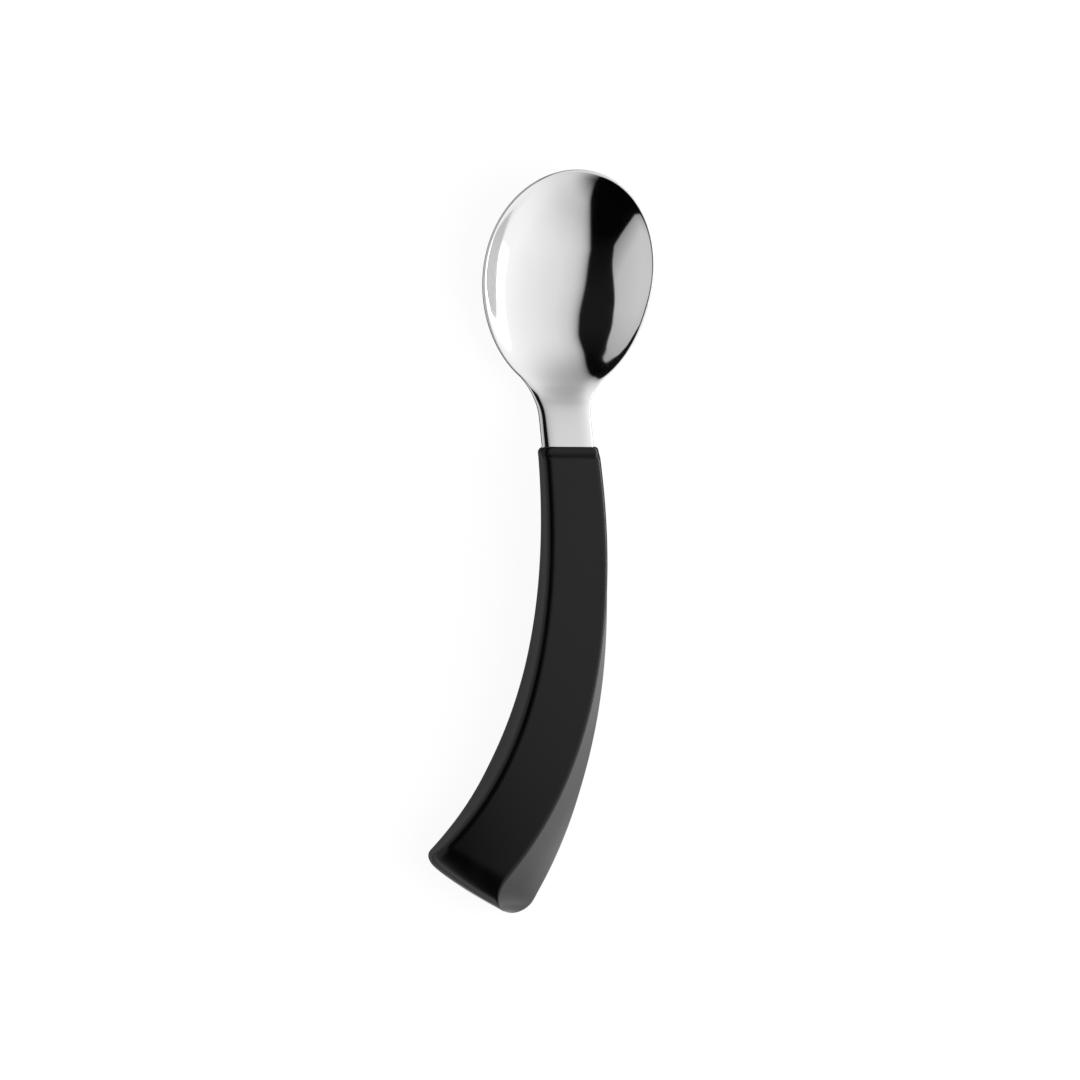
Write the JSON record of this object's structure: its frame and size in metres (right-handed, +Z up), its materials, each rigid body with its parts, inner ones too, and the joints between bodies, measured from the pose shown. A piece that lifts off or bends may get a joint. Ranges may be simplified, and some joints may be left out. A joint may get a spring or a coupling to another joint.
{
  "type": "right-handed spoon",
  "caption": "Right-handed eating spoon: polished steel egg-shaped bowl with flat neck and hidden tang in a thick black plastic handle that curves to the left and widens to a slanted heel.",
  "frame": {"origin": "middle of the spoon's bounding box, on the surface that the spoon lies on", "axes": "+Y along the steel from the handle to the tip of the bowl, +Z up out of the bowl, +X to the right; the handle curves towards -X"},
  "size_m": [0.0524, 0.1792, 0.0175],
  "materials": {
    "polished_steel": "bright polished stainless steel",
    "black_plastic": "moulded black plastic, satin"
  },
  "bodies": {
    "root": {"steel_spoon": "polished_steel", "handle": "black_plastic"}
  },
  "joints": []
}
